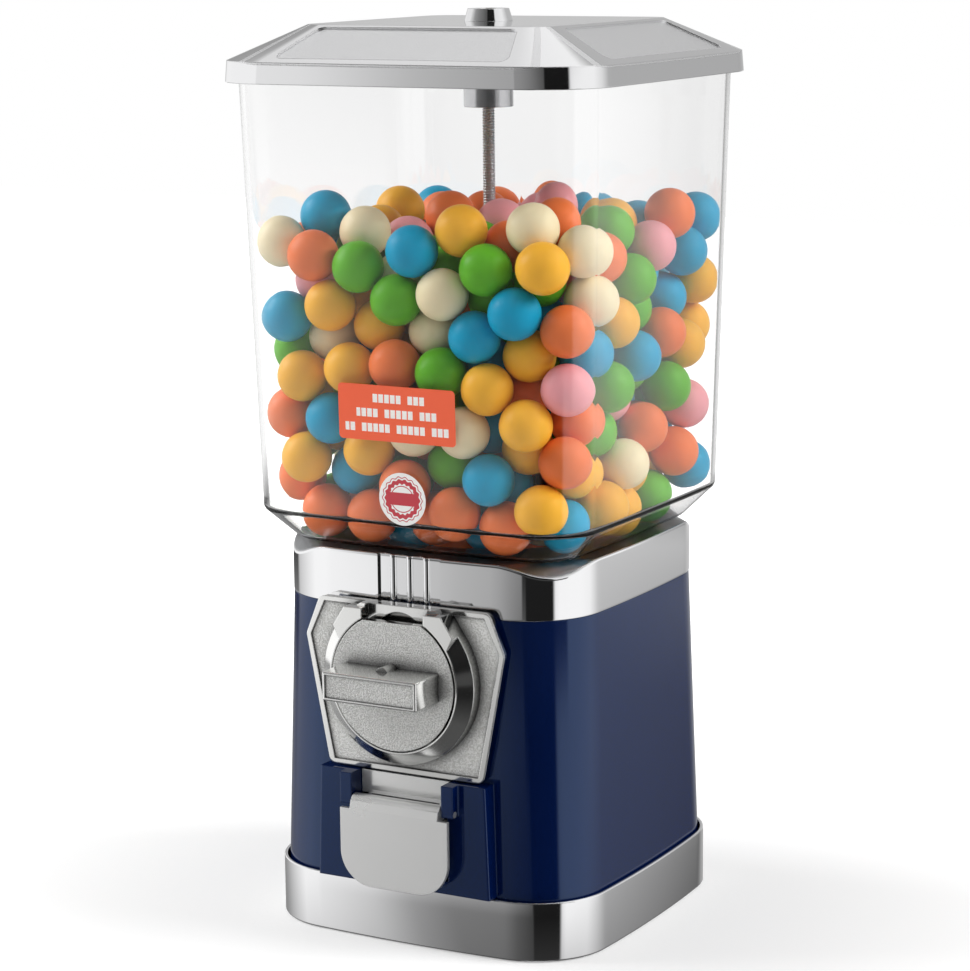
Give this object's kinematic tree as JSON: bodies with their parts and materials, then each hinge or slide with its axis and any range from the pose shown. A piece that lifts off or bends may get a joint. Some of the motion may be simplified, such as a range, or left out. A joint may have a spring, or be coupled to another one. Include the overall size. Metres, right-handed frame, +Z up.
{
  "type": "gumball machine",
  "caption": "Coin-operated gumball dispenser: clear square globe under a locked plated lid, tapered cabinet with a turning knob, ball wheel, chute and flap.",
  "frame": {"origin": "on the floor, at the middle of the base tray's underside, under the centre rod", "axes": "+Z up along the centre rod; the coin knob and the flap face -Y; +X is to the right seen from the front"},
  "size_m": [0.192, 0.2118, 0.4216],
  "materials": {
    "rubber": "matt",
    "plated": "bright plating",
    "navy": "gloss, moulded",
    "clear": "clear, blow moulded",
    "cast": "pebbled die casting with smooth borders",
    "steel": "zinc plated",
    "white_plastic": "moulded",
    "brass": "turned",
    "satin_plate": "satin",
    "gum_yellow": "sugar shell",
    "gum_orange": "sugar shell",
    "gum_blue": "sugar shell",
    "gum_green": "sugar shell",
    "gum_pink": "sugar shell",
    "gum_cream": "sugar shell"
  },
  "bodies": {
    "cabinet": {"rubber_feet": "rubber", "base_tray": "plated", "cabinet_shell": "navy", "collar": "plated", "globe": "clear", "center_rod": "steel", "rod_washer": "steel", "rod_nut": "steel", "hopper_pan": "white_plastic", "pan_screws": "steel", "wheel_bushing": "white_plastic", "ball_guard": "steel", "hub_nut": "steel", "chute": "satin_plate", "flap_pin": "steel", "coin_plate": "cast", "mech_back_plate": "steel", "mech_screws": "steel", "pawl_pin": "steel", "gumballs_yellow": "gum_yellow", "gumballs_orange": "gum_orange", "gumballs_blue": "gum_blue", "gumballs_green": "gum_green", "gumballs_pink": "gum_pink", "gumballs_cream": "gum_cream"},
    "lid": {"lid": "plated", "lock_head": "plated", "lock_barrel": "plated"},
    "key_plug": {"lock_plug": "brass"},
    "knob": {"turn_knob": "cast", "knob_shaft": "steel", "ratchet_wheel": "steel", "shaft_sleeve": "brass", "drive_pinion": "white_plastic"},
    "wheel": {"gumball_wheel": "white_plastic"},
    "flap": {"flap": "satin_plate"},
    "pawl": {"pawl": "steel"}
  },
  "joints": [
    {"name": "knob_turn", "type": "hinge", "parent": "cabinet", "child": "knob", "pos_m": [0, -0.09, 0.126], "axis": [0, 1, 0], "continuous": true},
    {"name": "wheel_turn", "type": "hinge", "parent": "cabinet", "child": "wheel", "pos_m": [0, 0, 0.15], "axis": [0, 0, 1], "continuous": true},
    {"name": "flap_swing", "type": "hinge", "parent": "cabinet", "child": "flap", "pos_m": [0, -0.0916, 0.0678], "axis": [-1, 0, 0], "range_deg": [0, 80]},
    {"name": "lid_lift", "type": "slide", "parent": "cabinet", "child": "lid", "axis": [0, 0, 1], "range_m": [0, 0.06]},
    {"name": "key_turn", "type": "hinge", "parent": "lid", "child": "key_plug", "pos_m": [0, 0, 0.415], "axis": [0, 0, 1], "range_deg": [0, 90]},
    {"name": "pawl_lift", "type": "hinge", "parent": "cabinet", "child": "pawl", "pos_m": [0.0215, -0.0776, 0.136], "axis": [0, 1, 0], "range_deg": [0, 12]}
  ],
  "couplings": [
    {"joint": "wheel_turn", "follows": "knob_turn", "ratio": 0.16667}
  ]
}
